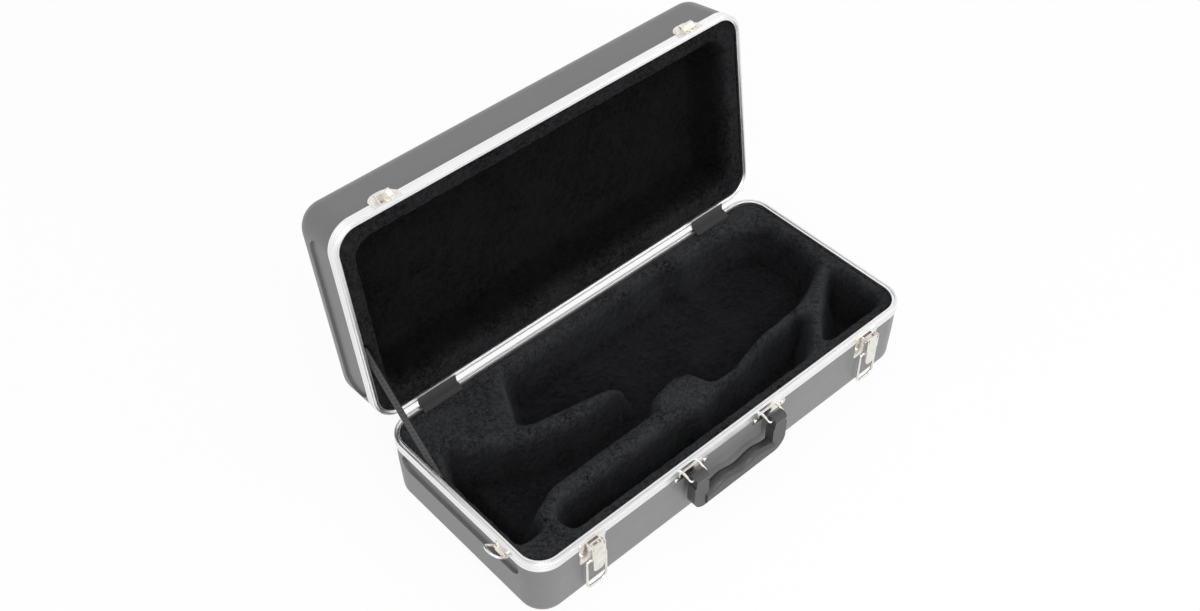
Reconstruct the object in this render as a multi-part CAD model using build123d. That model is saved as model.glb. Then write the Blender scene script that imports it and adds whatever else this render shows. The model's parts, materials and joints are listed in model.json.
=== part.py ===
from build123d import *

import math
import os

# Trumpet case, lid open, standing on its base.  Millimetres.
# Origin: middle of the base's underside, on the floor.  +X runs along the case's length,
# -Y is the front with the handle and the latches, +Y the hinge side, +Z up.

# ------------------------------------------------------------------ case and lid
case_length = 545.0
case_width = 245.0
corner_radius = 30.0
base_height = 88.0
lid_height = 76.0
rim_gap = 0.4
open_angle = 98.0

# ------------------------------------------------------------------ moulded shells
wall = 3.0
wall_draft = 2.0
base_band = 36.0
base_edge_radius = 14.0
lid_band = 24.0
lid_edge_radius = 24.0
channel_depth = 3.5
base_channel_height = 25.0
base_channel_margin = 29.5
lid_channel_height = 39.0
lid_channel_margin = 23.5

# ------------------------------------------------------------------ aluminium frames
frame_height = 10.5
outer_leg = 1.0
inner_leg = 2.0
leg_relief = 0.5
rim_thickness = 4.0
rim_rounding = 0.6
groove_width = 2.6
groove_depth = 2.4
tongue_width = 1.6
tongue_height = 1.8
bead_width = 0.6
bead_depth = 0.3
bead_drops = (3.4, 7.0)

# ------------------------------------------------------------------ clearances
seat_clearance = 0.3
running_clearance = 0.05
foam_clearance = 0.2
rivet_clearance = 0.02
prong_clearance = 0.2

# ------------------------------------------------------------------ linings
plush = 2.5
base_lining_drop = 3.0
lid_lining_drop = 1.5
pocket_corner = 6.0
bell_slot_floor = 14.0
main_floor = 30.0
pocket_floor = 25.0
pan_length_margin = 17.0
pan_width_margin = 20.0
pan_depth = 51.0
pan_draft = 9.0
pan_corner = 22.0
notch_front = 2.0
notch_rear = 14.0
notch_relief = 2.0
notch_drop = 8.5

# ------------------------------------------------------------------ rivets
shank_radius = 1.3
head_radius = 2.3
head_height = 1.2
head_rounding = 0.9
bore_reach = 4.0

# ------------------------------------------------------------------ hinges
hinge_inset = 72.5
hinge_length = 44.0
knuckle_radius = 2.5
knuckle_count = 5
knuckle_gap = 0.3
hinge_pin_radius = 1.1
leaf_thickness = 1.2
leaf_height = 9.3
leaf_rivet_drop = 5.5
leaf_rivet_pitch = 15.0
cover_length = 50.0
cover_thickness = 0.8
cover_foot = 5.0
cover_ramp = 4.4
cover_bend = 2.4
cover_lid_step = 5.5
cover_lid_rise = 10.5

# ------------------------------------------------------------------ lid stay
strap_width = 18.0
strap_thickness = 1.0
strap_tail = 4.0
strap_gap = 0.1
anchor_length = 12.0
anchor_thickness = 1.6
base_anchor_inset = 82.5
lid_anchor_inset = 93.0
anchor_drop = 4.4

# ------------------------------------------------------------------ latches
latch_inset = 70.5
latch_sheet = 1.0
plate_width = 34.0
plate_top_drop = 3.3
plate_bottom_drop = 35.0
plate_corner = 3.0
plate_rivet_spacing = 27.0
plate_rivet_drop = 22.0
lever_pivot_out = 6.5
lever_pivot_drop = 9.0
lever_pin_radius = 1.2
lever_pin_overhang = 0.6
ear_thickness = 1.2
ear_radius = 2.7
lever_width = 18.0
lever_back = 3.4
lever_front = 10.5
lever_top_drop = 5.0
lever_box_drop = 23.0
lever_tab_width = 15.0
lever_tab_drop = 45.0
lever_tab_corner = 6.5
lever_window = (10.5, 4.2)
bail_pivot_out = 6.0
bail_pivot_drop = 28.5
bail_ear_radius = 2.6
bail_width = 25.0
bail_wire_radius = 1.4
bail_bend = 7.0
bail_end_bend = 2.0

# ------------------------------------------------------------------ keepers on the lid
keeper_width = 32.0
keeper_rise = 22.8
keeper_dome = 14.0
keeper_rivet_offset = 10.5
keeper_rivet_rise = 14.4
hook_rivet_rise = 2.6
hook_out = 6.4
hook_shelf_rise = 11.0
hook_lip = 1.5
bail_seat_out = 3.6

# ------------------------------------------------------------------ carrying handle
handle_offset = -10.0
post_spacing = 115.0
post_width = 20.0
post_top_width = 16.4
post_thickness = 11.0
post_shoulder = 8.5
post_corner = 17.0
handle_pivot_out = 12.0
handle_pivot_drop = 13.5
handle_top_radius = 6.3
grip_bottom_drop = 60.0
grip_height = 18.0
grip_thickness = 14.0
grip_out = 12.5
grip_rounding = 5.5
grip_swell = 4.5
finger_pitch = 46.0
swell_steps = 6
bracket_sheet = 1.2
bracket_length = 50.0
bracket_strip_height = 7.4
bracket_tab_length = 32.0
bracket_tab_rise = 3.0
bracket_rivet_spacing = 40.0
prong_radius = 1.4
prong_bend = 2.6
prong_root_drop = 9.6
prong_engagement = 3.0

# ------------------------------------------------------------------ strap rings
ring_inset = 50.5
ring_wire_radius = 1.3
ring_length = 20.0
ring_reach = 20.5
ring_pivot_out = 3.0
ring_pivot_drop = 9.0
ring_raise = 135.0
curl_wall = 0.95
curl_length = 11.0
ring_plate_width = 20.0
ring_plate_height = 8.0
ring_plate_drop = 2.0
ring_rivet_spacing = 14.6
ring_rivet_drop = 5.0
ring_sheet = 1.0

# ------------------------------------------------------------------ worked out
frame_width = outer_leg + wall + inner_leg
inner_leg_height = frame_height - wall - leg_relief
base_rim = base_height
lid_rim = base_height + rim_gap
hinge_out = knuckle_radius + seat_clearance
hinge_y = case_width / 2 + hinge_out
hinge_z = base_rim + rim_gap / 2
inner_face = -frame_width
shell_face = -outer_leg
shell_inside = -(outer_leg + wall)

# Places that stand upright on a wall: x along the wall, -y outward, z the height.
FRONT = Pos(0, -case_width / 2, 0)
REAR = Pos(0, case_width / 2, 0) * Rot(0, 0, 180)
LEFT = Pos(-case_length / 2, 0, 0) * Rot(0, 0, -90)
RIGHT = Pos(case_length / 2, 0, 0) * Rot(0, 0, 90)

# The lid is modelled shut and then swung open about the hinge line.
LID_OPEN = Pos(0, hinge_y, hinge_z) * Rot(-open_angle, 0, 0) * Pos(0, -hinge_y, -hinge_z)


# ================================================================== general shapes
def outline(inset):
    """Plan outline of the case, drawn in by a distance."""
    return RectangleRounded(
        case_length - 2 * inset, case_width - 2 * inset, corner_radius - inset
    )


def ring(outer_inset, inner_inset, top, bottom):
    """Ring that follows the case's outline between two insets and two heights."""
    section = outline(outer_inset) - outline(inner_inset)
    return extrude(Pos(0, 0, bottom) * section, top - bottom)


def slab(width, near, far, bottom, top, x=0.0):
    """Box on a wall; near and far are measured outward from the frame's outer face."""
    middle = Pos(x, -(near + far) / 2, (bottom + top) / 2)
    return middle * Box(width, far - near, top - bottom)


def bar(radius, length, out, height, x=0.0):
    """Round bar along a wall."""
    return Pos(x, -out, height) * Rot(0, 90, 0) * Cylinder(radius, length)


def stud(radius, near, far, x, height):
    """Round bar square to a wall."""
    return Pos(x, -(near + far) / 2, height) * Rot(90, 0, 0) * Cylinder(radius, far - near)


def side_plate(points, x_from, x_to):
    """Plate square to a wall, its outline given as (outward, height) points."""
    corners = [(x_from, -out, height) for out, height in points]
    return extrude(make_face(Polyline(*corners, close=True)), x_to - x_from, dir=(1, 0, 0))


def face_plate(width, bottom, top, corner, near, far):
    """Plate flat on a wall with rounded corners."""
    blank = Pos(0, (bottom + top) / 2) * RectangleRounded(width, top - bottom, corner)
    return Pos(0, -near, 0) * extrude(Plane.XZ * blank, far - near)


def wire(points, radius, bend):
    """Bent round wire through the points."""
    path = FilletPolyline(*points, radius=bend)
    section = Plane(origin=path @ 0, z_dir=path % 0) * Circle(radius)
    return sweep(section, path)


def rivet(seat, tail):
    """Domed rivet standing on a plate face at seat, its shank ending at tail."""
    head = Pos(0, 0, head_height / 2) * Cylinder(head_radius, head_height)
    head = fillet(head.edges().sort_by(Axis.Z)[-1], head_rounding)
    turned = Pos(0, -seat, 0) * Rot(90, 0, 0) * head
    return turned + stud(shank_radius, tail, seat, 0, 0)


def rivet_bore():
    """Hole that a rivet's shank fills, right through a wall and its frame."""
    return stud(shank_radius + rivet_clearance, 2 * inner_face, bore_reach, 0, 0)


# ================================================================== where rivets go
class Rivet:
    """One rivet: its wall, its place on the wall, the face it seats on, where it ends."""

    def __init__(self, side, x, height, seat, tail):
        self.place = side * Pos(x, 0, height)
        self.seat = seat
        self.tail = tail

    def solid(self):
        return self.place * rivet(self.seat, self.tail)

    def bore(self):
        return self.place * rivet_bore()


def pair(value):
    """The same distance to the left and to the right."""
    return (-value, value)


latch_x = case_length / 2 - latch_inset
hinge_x = case_length / 2 - hinge_inset
ring_y = case_width / 2 - ring_inset
post_places = [handle_offset + step for step in pair(post_spacing / 2)]

frame_bottom = base_rim - frame_height
lid_frame_top = lid_rim + frame_height
bracket_top = frame_bottom - seat_clearance
bracket_middle = bracket_top - bracket_strip_height / 2

latch_rivets = [
    Rivet(
        FRONT,
        side + step,
        base_rim - plate_rivet_drop,
        latch_sheet - outer_leg,
        shell_inside,
    )
    for side in pair(latch_x)
    for step in pair(plate_rivet_spacing / 2)
]
bracket_rivets = [
    Rivet(FRONT, post + step, bracket_middle, bracket_sheet - outer_leg, shell_inside)
    for post in post_places
    for step in pair(bracket_rivet_spacing / 2)
]
ring_rivets = [
    Rivet(side, place + step, base_rim - ring_rivet_drop, ring_sheet, inner_face)
    for side, place in ((LEFT, ring_y), (RIGHT, -ring_y))
    for step in pair(ring_rivet_spacing / 2)
]
hinge_base_rivets = [
    Rivet(REAR, side + step, base_rim - leaf_rivet_drop, leaf_thickness, inner_face)
    for side in pair(hinge_x)
    for step in (-leaf_rivet_pitch, 0, leaf_rivet_pitch)
]
hinge_lid_rivets = [
    Rivet(REAR, side + step, lid_rim + leaf_rivet_drop, leaf_thickness, inner_face)
    for side in pair(hinge_x)
    for step in (-leaf_rivet_pitch, 0, leaf_rivet_pitch)
]
keeper_rivets = [
    Rivet(
        FRONT,
        side - keeper_rivet_offset,
        lid_rim + keeper_rivet_rise,
        latch_sheet - outer_leg,
        shell_inside,
    )
    for side in pair(latch_x)
] + [
    Rivet(FRONT, side, lid_rim + hook_rivet_rise, latch_sheet, inner_face)
    for side in pair(latch_x)
]

base_rivets = latch_rivets + bracket_rivets + ring_rivets + hinge_base_rivets
lid_rivets = hinge_lid_rivets + keeper_rivets


def drilled(shape, rivets):
    """The shape with every rivet's hole cut through it."""
    for item in rivets:
        shape = shape - item.bore()
    return shape


def rivet_group(rivets):
    """Rivets of one kind, as separate solids in one piece list."""
    return Compound(children=[item.solid().solids()[0] for item in rivets])


# ================================================================== moulded shells
class Tub:
    """One half of the moulded case, rim plane at zero, hollow side up."""

    def __init__(self, height, band, edge_radius, channel_height, channel_margin):
        self.height = height
        self.band = band
        self.edge_radius = edge_radius
        self.channel_height = channel_height
        self.channel_reach = case_width - 2 * channel_margin

    def block(self, inset):
        """Closed block of the tub, drawn in by a distance from the shell's outer face."""
        plan = outline(outer_leg + inset)
        upper = extrude(Pos(0, 0, -self.band) * plan, self.band)
        down = Plane(origin=(0, 0, -self.band), x_dir=(1, 0, 0), z_dir=(0, 0, -1))
        depth = self.height - inset - self.band
        lower = extrude(down * plan, depth, taper=wall_draft)
        lower = fillet(lower.edges().group_by(Axis.Z)[0], self.edge_radius - inset)
        return (upper + lower) - self.channels(inset)

    def channels(self, inset):
        """Long sunk channels in both ends, grown by a distance."""
        height = self.channel_height + 2 * inset
        reach = self.channel_reach + 2 * inset
        middle = -frame_height - self.channel_height / 2
        floor = case_length / 2 - outer_leg - channel_depth - inset
        stadium = SlotOverall(reach, height)
        right = extrude(
            Plane(origin=(floor, 0, middle), x_dir=(0, 1, 0), z_dir=(1, 0, 0)) * stadium,
            channel_depth + inset + wall,
        )
        return right + mirror(right, Plane.YZ)

    def shell(self):
        """Moulded wall, its edge held in the frame's slot."""
        hollow = self.block(wall)
        edge = ring(outer_leg, 0, 0, -rim_thickness) + extrude(outline(0), -rim_thickness)
        return (self.block(0) - hollow) - edge

    def lining_block(self, drop):
        """Full block that fills the half from its floor up to the lining's top face."""
        block = self.block(wall + foam_clearance)
        leg = ring(0, frame_width + foam_clearance, 0, -inner_leg_height - foam_clearance)
        return (block - leg) - extrude(outline(0), -drop)


base_tub = Tub(
    base_height, base_band, base_edge_radius, base_channel_height, base_channel_margin
)
lid_tub = Tub(lid_height, lid_band, lid_edge_radius, lid_channel_height, lid_channel_margin)

ON_BASE = Pos(0, 0, base_rim)
ON_LID = Pos(0, 0, lid_rim) * Rot(180, 0, 0)


# ================================================================== aluminium frames
def frame_profile():
    """Edge profile round one half: rim, outer leg, inner leg and two fine beads."""
    blank = extrude(outline(0), -frame_height)
    blank = fillet(blank.edges().group_by(Axis.Z)[-1], rim_rounding)
    blank = blank - extrude(outline(frame_width), -frame_height)
    slot = ring(outer_leg, outer_leg + wall, -rim_thickness, -frame_height)
    short_leg = ring(outer_leg + wall, frame_width, -inner_leg_height, -frame_height)
    frame = blank - slot - short_leg
    for drop in bead_drops:
        frame = frame - ring(0, bead_depth, -drop, -drop - bead_width)
    return frame


def rim_ring(width, top, bottom):
    """Ring of a given width along the middle of the rim."""
    near = (frame_width - width) / 2
    return ring(near, near + width, top, bottom)


def base_frame():
    grooved = frame_profile() - rim_ring(groove_width, 0, -groove_depth)
    return drilled(ON_BASE * grooved, base_rivets) - anchor_bore(base_anchor())


def lid_frame():
    tongued = frame_profile() + rim_ring(tongue_width, tongue_height, 0)
    return drilled(ON_LID * tongued, lid_rivets) - anchor_bore(lid_anchor())


# ================================================================== linings
left = -case_length / 2 + frame_width
right = case_length / 2 - frame_width
front = -case_width / 2 + frame_width
rear = case_width / 2 - frame_width
bell_line = front + 109


def pocket(points, corner=pocket_corner):
    """Flat outline of one pocket with rounded corners."""
    face = make_face(Polyline(*points, close=True))
    return fillet(face.vertices(), corner)


def bell_slot_outline():
    """Slot for the rim of the bell, against the left end."""
    points = (
        (left + 9, bell_line - 70),
        (left + 40, bell_line - 70),
        (left + 40, bell_line + 70),
        (left + 9, bell_line + 70),
    )
    return pocket(points, 12)


def flare_outline():
    """Narrowing bed of the bell's flare and its tube."""
    points = (
        (left + 24, bell_line + 70),
        (left + 24, bell_line - 70),
        (left + 40, bell_line - 56),
        (left + 78, bell_line - 40),
        (left + 150, bell_line - 38),
        (left + 150, bell_line + 10),
        (left + 97, bell_line + 27),
        (left + 52, bell_line + 54),
    )
    return pocket(points)


def main_outline():
    """Main cavity for the valves and the slides."""
    points = (
        (left + 137, rear - 13),
        (left + 104, bell_line + 46),
        (left + 116, bell_line + 37),
        (left + 226, bell_line + 16),
        (left + 138, bell_line + 8),
        (left + 138, bell_line - 38),
        (-44, bell_line - 38),
        (-34, bell_line - 23),
        (0, bell_line - 16),
        (20, bell_line - 24),
        (28, bell_line - 49),
        (60, bell_line - 50),
        (right - 156, bell_line - 37),
        (right - 82, bell_line - 32),
        (right - 54, bell_line - 22),
        (right - 20, bell_line - 6),
        (right - 12, bell_line + 44),
        (right - 18, rear - 42),
        (right - 36, rear - 30),
        (right - 84, rear - 17),
        (right - 130, rear - 19),
        (right - 156, rear - 9),
    )
    return pocket(points, 4)


def front_outline():
    """Long accessory pocket along the front."""
    points = (
        (left + 60, front + 10),
        (right - 136, front + 10),
        (right - 112, front + 33),
        (right - 90, front + 58),
        (right - 98, front + 68),
        (right - 156, front + 64),
        (60, front + 52),
        (24, front + 49),
        (-9, front + 42),
        (-35, front + 49),
        (left + 148, front + 47),
        (left + 70, front + 50),
        (left + 57, front + 39),
    )
    return pocket(points, 4)


def right_outline():
    """Three-cornered accessory pocket at the right front corner."""
    points = (
        (right - 109, front + 10),
        (right - 6, front + 10),
        (right - 6, front + 94),
        (right - 29, front + 85),
        (right - 55, front + 65),
        (right - 80, front + 45),
    )
    return pocket(points)


def base_pockets(growth):
    """Every pocket of the base; growth takes them down to the foam under the plush."""
    pockets = (
        (bell_slot_outline(), bell_slot_floor),
        (flare_outline(), main_floor),
        (main_outline(), main_floor),
        (front_outline(), pocket_floor),
        (right_outline(), pocket_floor),
    )
    cuts = []
    for shape, floor in pockets:
        plan = offset(shape, growth) if growth else shape
        cuts.append(extrude(Pos(0, 0, floor - growth) * plan, base_rim - floor + growth))
    return cuts


def lid_pans(growth):
    """Padded pan of the lid, sloping in towards its floor."""
    length = 2 * right - 2 * pan_length_margin + 2 * growth
    width = 2 * rear - 2 * pan_width_margin + 2 * growth
    plan = RectangleRounded(length, width, pan_corner + growth)
    mouth = Plane(origin=(0, 0, 0), x_dir=(1, 0, 0), z_dir=(0, 0, -1))
    depth = pan_depth + lid_lining_drop + growth
    return [extrude(mouth * plan, depth, taper=pan_draft)]


def anchor_notch(y, from_rim):
    """Gap in a lining's outer edge that leaves the strap's anchor free."""
    front_margin = anchor_length / 2 + notch_front
    rear_margin = anchor_length / 2 + notch_rear
    depth = anchor_thickness + strap_thickness + head_height + notch_relief
    height = inner_leg_height + notch_drop
    middle = from_rim * height / 2
    box = Box(depth, front_margin + rear_margin, height)
    return Pos(left + depth / 2, y + (rear_margin - front_margin) / 2, middle) * box


def carved(block, cuts):
    """Block with every cut taken out."""
    for cut in cuts:
        block = block - cut
    return block


def base_linings():
    """Foam insert of the base and the plush skin that covers it."""
    notch = Pos(0, 0, base_rim) * anchor_notch(base_anchor_y, -1)
    full = ON_BASE * base_tub.lining_block(base_lining_drop) - notch
    under = ON_BASE * base_tub.lining_block(base_lining_drop + plush) - notch
    foam = carved(under, base_pockets(plush))
    skin = carved(full, base_pockets(0)) - foam
    return foam, skin


def lid_linings():
    """Foam insert of the lid and the plush skin that covers it."""
    notch = Pos(0, 0, lid_rim) * anchor_notch(lid_anchor_y, 1)
    full = ON_LID * lid_tub.lining_block(lid_lining_drop) - notch
    under = ON_LID * lid_tub.lining_block(lid_lining_drop + plush) - notch
    foam = carved(under, [ON_LID * cut for cut in lid_pans(plush)])
    skin = carved(full, [ON_LID * cut for cut in lid_pans(0)]) - foam
    return foam, skin


# ================================================================== hinges
def knuckles(first, bore):
    """Every second knuckle of a hinge, starting at the first."""
    pitch = (hinge_length + knuckle_gap) / knuckle_count
    rolls = []
    for index in range(first, knuckle_count, 2):
        x = -hinge_length / 2 + pitch * index + (pitch - knuckle_gap) / 2
        roll = bar(knuckle_radius, pitch - knuckle_gap, hinge_out, hinge_z, x)
        rolls.append(roll - bar(bore, pitch, hinge_out, hinge_z, x))
    return rolls


def leaf(first, bottom, top, bore):
    """Hinge leaf with its knuckles; the other leaf's knuckles turn in its gaps."""
    plate = slab(hinge_length, 0, leaf_thickness, bottom, top)
    plate = plate - bar(knuckle_radius + seat_clearance, hinge_length * 2, hinge_out, hinge_z)
    pitch = (hinge_length + knuckle_gap) / knuckle_count
    for index, roll in zip(range(first, knuckle_count, 2), knuckles(first, bore)):
        x = -hinge_length / 2 + pitch * index + (pitch - knuckle_gap) / 2
        low, high = min(bottom, hinge_z), max(top, hinge_z)
        root = slab(pitch - knuckle_gap, 0, leaf_thickness, low, high, x)
        plate = plate + (root - bar(bore, pitch, hinge_out, hinge_z, x)) + roll
    return plate


def base_leaf(x):
    top = base_rim - seat_clearance
    shape = leaf(0, base_rim - leaf_height, top, hinge_pin_radius)
    return drilled(REAR * Pos(x, 0, 0) * shape, hinge_base_rivets)


def lid_leaf(x):
    bottom = lid_rim + seat_clearance
    bore = hinge_pin_radius + running_clearance
    shape = leaf(1, bottom, lid_rim + leaf_height, bore)
    return drilled(REAR * Pos(x, 0, 0) * shape, hinge_lid_rivets)


def hinge_pin(x):
    return REAR * bar(hinge_pin_radius, hinge_length, hinge_out, hinge_z, x)


def hinge_cover(x):
    """Woven strip that bridges the two rims over a hinge, with the lid open."""
    lid_side = hinge_y - tongue_height
    foot = case_width / 2 - frame_width - cover_foot
    lining_top = base_rim - base_lining_drop + seat_clearance
    path = (
        (foot, lining_top),
        (foot + cover_ramp, base_rim + seat_clearance),
        (case_width / 2 - cover_bend, base_rim + seat_clearance),
        (lid_side, base_rim + cover_lid_step),
        (lid_side, base_rim + cover_lid_rise),
    )
    upper = [(y, z + cover_thickness) for y, z in path[:3]]
    upper = upper + [(y - cover_thickness, z) for y, z in path[3:]]
    corners = [(x - cover_length / 2, y, z) for y, z in list(path) + upper[::-1]]
    strip = make_face(Polyline(*corners, close=True))
    return extrude(strip, cover_length, dir=(1, 0, 0))


# ================================================================== lid stay
base_anchor_y = case_width / 2 - base_anchor_inset
lid_anchor_y = case_width / 2 - lid_anchor_inset


def base_anchor():
    """Middle of the stay's base rivet, on the inner face of the base frame."""
    return LEFT * Pos(-base_anchor_y, 0, base_rim - anchor_drop)


def lid_anchor():
    """Middle of the stay's lid rivet, with the lid shut."""
    return LEFT * Pos(-lid_anchor_y, 0, lid_rim + anchor_drop)


def anchor_bore(place):
    """Hole for an anchor's rivet through the inner leg and the shell."""
    far = inner_face - anchor_thickness - strap_thickness - head_height
    return place * stud(shank_radius + rivet_clearance, far, shell_face, 0, 0)


def anchor_plate(place, from_rim):
    """Small plate on the frame's inner leg that the strap lies on."""
    height = inner_leg_height - 2 * seat_clearance
    centre = from_rim * (inner_leg_height / 2 - anchor_drop)
    near = inner_face - anchor_thickness
    plate = slab(anchor_length, near, inner_face, centre - height / 2, centre + height / 2)
    return place * plate - anchor_bore(place)


def anchor_rivet(place):
    """Rivet that holds the strap and its plate to the frame."""
    seat = inner_face - anchor_thickness - strap_thickness - 2 * strap_gap
    head = Pos(0, 0, head_height / 2) * Cylinder(head_radius, head_height)
    head = fillet(head.edges().sort_by(Axis.Z)[-1], head_rounding)
    turned = Pos(0, -seat, 0) * Rot(-90, 0, 0) * head
    return place * (turned + stud(shank_radius, seat, shell_face, 0, 0))


def stay_strap():
    """Webbing strap pulled tight between its two anchors by the open lid."""
    start = base_anchor().position
    end = (LID_OPEN * lid_anchor()).position
    rise = math.degrees(math.atan2(end.Z - start.Z, end.Y - start.Y))
    span = math.hypot(end.Z - start.Z, end.Y - start.Y)
    length = span + 2 * strap_tail
    x = left + anchor_thickness + strap_gap + strap_thickness / 2
    place = Pos(x, start.Y, start.Z) * Rot(rise, 0, 0) * Pos(0, span / 2, 0)
    strap = place * Box(strap_thickness, length, strap_width)
    strap = strap - anchor_bore(base_anchor())
    free = Rot(0, 90, 0) * Cylinder(shank_radius + seat_clearance, 4 * strap_thickness)
    return strap - Pos(x, end.Y, end.Z) * free


# ================================================================== latches
def latch_plate(x):
    """Sheet plate that steps from the frame down to the shell, with ears for the lever."""
    top = base_rim - plate_top_drop
    bottom = base_rim - plate_bottom_drop
    step = frame_bottom - seat_clearance
    upper = slab(plate_width, 0, latch_sheet, step - latch_sheet, top)
    lower = slab(plate_width, shell_face, shell_face + latch_sheet, bottom, step)
    bridge = slab(plate_width, shell_face, latch_sheet, step - latch_sheet, step)
    window = face_plate(plate_width, bottom, top, plate_corner, shell_face, latch_sheet)
    plate = (upper + lower + bridge) & window
    pivot = base_rim - lever_pivot_drop
    ear_x = lever_width / 2 - latch_sheet - seat_clearance - ear_thickness / 2
    for side in pair(ear_x):
        root = slab(ear_thickness, 0, lever_pivot_out, pivot - ear_radius, pivot + ear_radius, side)
        plate = plate + root + bar(ear_radius, ear_thickness, lever_pivot_out, pivot, side)
    plate = plate - bar(lever_pin_radius, lever_width, lever_pivot_out, pivot)
    return drilled(FRONT * Pos(x, 0, 0) * plate, latch_rivets)


def lever_pin(x):
    length = lever_width + 2 * lever_pin_overhang
    return FRONT * bar(
        lever_pin_radius, length, lever_pivot_out, base_rim - lever_pivot_drop, x
    )


def latch_lever(x):
    """Folded lever: a box round the pivot, two ears for the bail and a finger tab."""
    top = base_rim - lever_top_drop
    box_bottom = base_rim - lever_box_drop
    tab_bottom = base_rim - lever_tab_drop
    pivot = base_rim - lever_pivot_drop
    bail = base_rim - bail_pivot_drop
    cheek = (
        (lever_back, top),
        (lever_front, top),
        (lever_front, box_bottom),
        (bail_pivot_out + bail_ear_radius, bail),
        (bail_pivot_out - bail_ear_radius, bail),
        (lever_back, box_bottom),
    )
    inner = lever_width / 2 - latch_sheet
    lever = slab(lever_width, lever_front - latch_sheet, lever_front, box_bottom, top)
    roof = slab(lever_width, lever_back, lever_front, top - latch_sheet, top)
    window_long, window_deep = lever_window
    middle = (lever_back + lever_front) / 2
    roof = roof - slab(
        window_long, middle - window_deep / 2, middle + window_deep / 2, pivot, base_rim
    )
    lever = lever + roof
    for side in (-1, 1):
        near, far = sorted((side * inner, side * lever_width / 2))
        wing = side_plate(cheek, near, far)
        middle_x = (near + far) / 2
        wing = wing + bar(bail_ear_radius, latch_sheet, bail_pivot_out, bail, middle_x)
        lever = lever + wing
    ear_slot = ear_thickness + 2 * seat_clearance
    for side in pair(inner - ear_slot / 2):
        lever = lever - slab(
            ear_slot, 0, 2 * lever_front, pivot - seat_clearance, base_rim, side
        )
    overlap = 4 * latch_sheet
    tab = face_plate(
        lever_tab_width,
        tab_bottom,
        box_bottom + overlap,
        lever_tab_corner,
        lever_front - latch_sheet,
        lever_front,
    )
    lever = lever + tab
    lever = lever - bar(
        lever_pin_radius + running_clearance, 2 * lever_width, lever_pivot_out, pivot
    )
    lever = lever - bar(
        bail_wire_radius + running_clearance, 2 * lever_width, bail_pivot_out, bail
    )
    return FRONT * Pos(x, 0, 0) * lever


def latch_bail(x):
    """Wire bail hanging from the lever's ears; its crossbar reaches the lid's hook."""
    pivot = base_rim - bail_pivot_drop
    side = bail_width / 2
    beside_bend = max(0, lever_width / 2 - (side - bail_bend))
    room = bail_bend - bail_wire_radius - seat_clearance
    lift = bail_bend - math.sqrt(max(0, room**2 - beside_bend**2))
    seat = lid_rim + hook_shelf_rise + lift
    reach = math.hypot(seat - pivot, bail_pivot_out - bail_seat_out)
    end = lever_width / 2 - latch_sheet - seat_clearance
    points = (
        (-end, -bail_pivot_out, pivot),
        (-side, -bail_pivot_out, pivot),
        (-side, -bail_pivot_out, pivot - reach),
        (side, -bail_pivot_out, pivot - reach),
        (side, -bail_pivot_out, pivot),
        (end, -bail_pivot_out, pivot),
    )
    bends = (bail_end_bend, bail_bend, bail_bend, bail_end_bend)
    return FRONT * Pos(x, 0, 0) * wire(points, bail_wire_radius, bends)


def keeper(x):
    """Domed plate on the lid's front with the folded hook that the bail pulls on."""
    bottom = lid_rim + seat_clearance
    top = lid_rim + keeper_rise
    step = lid_frame_top + seat_clearance
    lower = slab(keeper_width, 0, latch_sheet, bottom, step + latch_sheet)
    upper = slab(keeper_width, shell_face, shell_face + latch_sheet, step, top)
    bridge = slab(keeper_width, shell_face, latch_sheet, step, step + latch_sheet)
    half = keeper_width / 2
    rim_height = bottom - keeper_dome
    blank = Pos(0, (rim_height + top) / 2) * RectangleRounded(
        keeper_width, top - rim_height, keeper_dome - seat_clearance
    )
    dome = Pos(0, outer_leg, 0) * extrude(Plane.XZ * blank, outer_leg + latch_sheet)
    plate = (lower + upper + bridge) & dome
    shelf = lid_rim + hook_shelf_rise
    half_hook = lever_width / 2
    shelf_plate = slab(lever_width, 0, hook_out, shelf - latch_sheet, shelf)
    lip_foot = shelf - latch_sheet - hook_lip
    lip = slab(lever_width, hook_out - latch_sheet, hook_out, lip_foot, shelf + hook_lip)
    gusset = (
        (0, bottom),
        (latch_sheet, bottom),
        (hook_out, lip_foot),
        (hook_out, shelf),
        (0, shelf),
    )
    hook = shelf_plate + lip
    for side in (-1, 1):
        near, far = sorted((side * half_hook, side * (half_hook - latch_sheet)))
        hook = hook + side_plate(gusset, near, far)
    return drilled(FRONT * Pos(x, 0, 0) * (plate + hook), keeper_rivets)


# ================================================================== carrying handle
handle_pivot = base_rim - handle_pivot_drop
prong_x = post_top_width / 2 + prong_clearance + prong_bend


def grip_section(x, height):
    """Upright section of the grip, flat-bottomed, at one place along it."""
    bottom = base_rim - grip_bottom_drop
    blank = RectangleRounded(grip_thickness, height, grip_rounding)
    plane = Plane(origin=(x, -grip_out, bottom + height / 2), x_dir=(0, 1, 0), z_dir=(1, 0, 0))
    return plane * blank


def grip():
    """Moulded grip with finger swells along its top."""
    half = (post_spacing + post_width) / 2 - post_corner
    step = finger_pitch / swell_steps
    reach = math.ceil(half / step)
    sections = []
    for index in range(1 - reach, reach):
        wave = grip_swell * (1 - math.cos(2 * math.pi * index / swell_steps)) / 2
        sections.append(grip_section(index * step, grip_height + wave))
    first = grip_section(-half, grip_height)
    last = grip_section(half, grip_height)
    return loft([first] + sections + [last])


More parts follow.
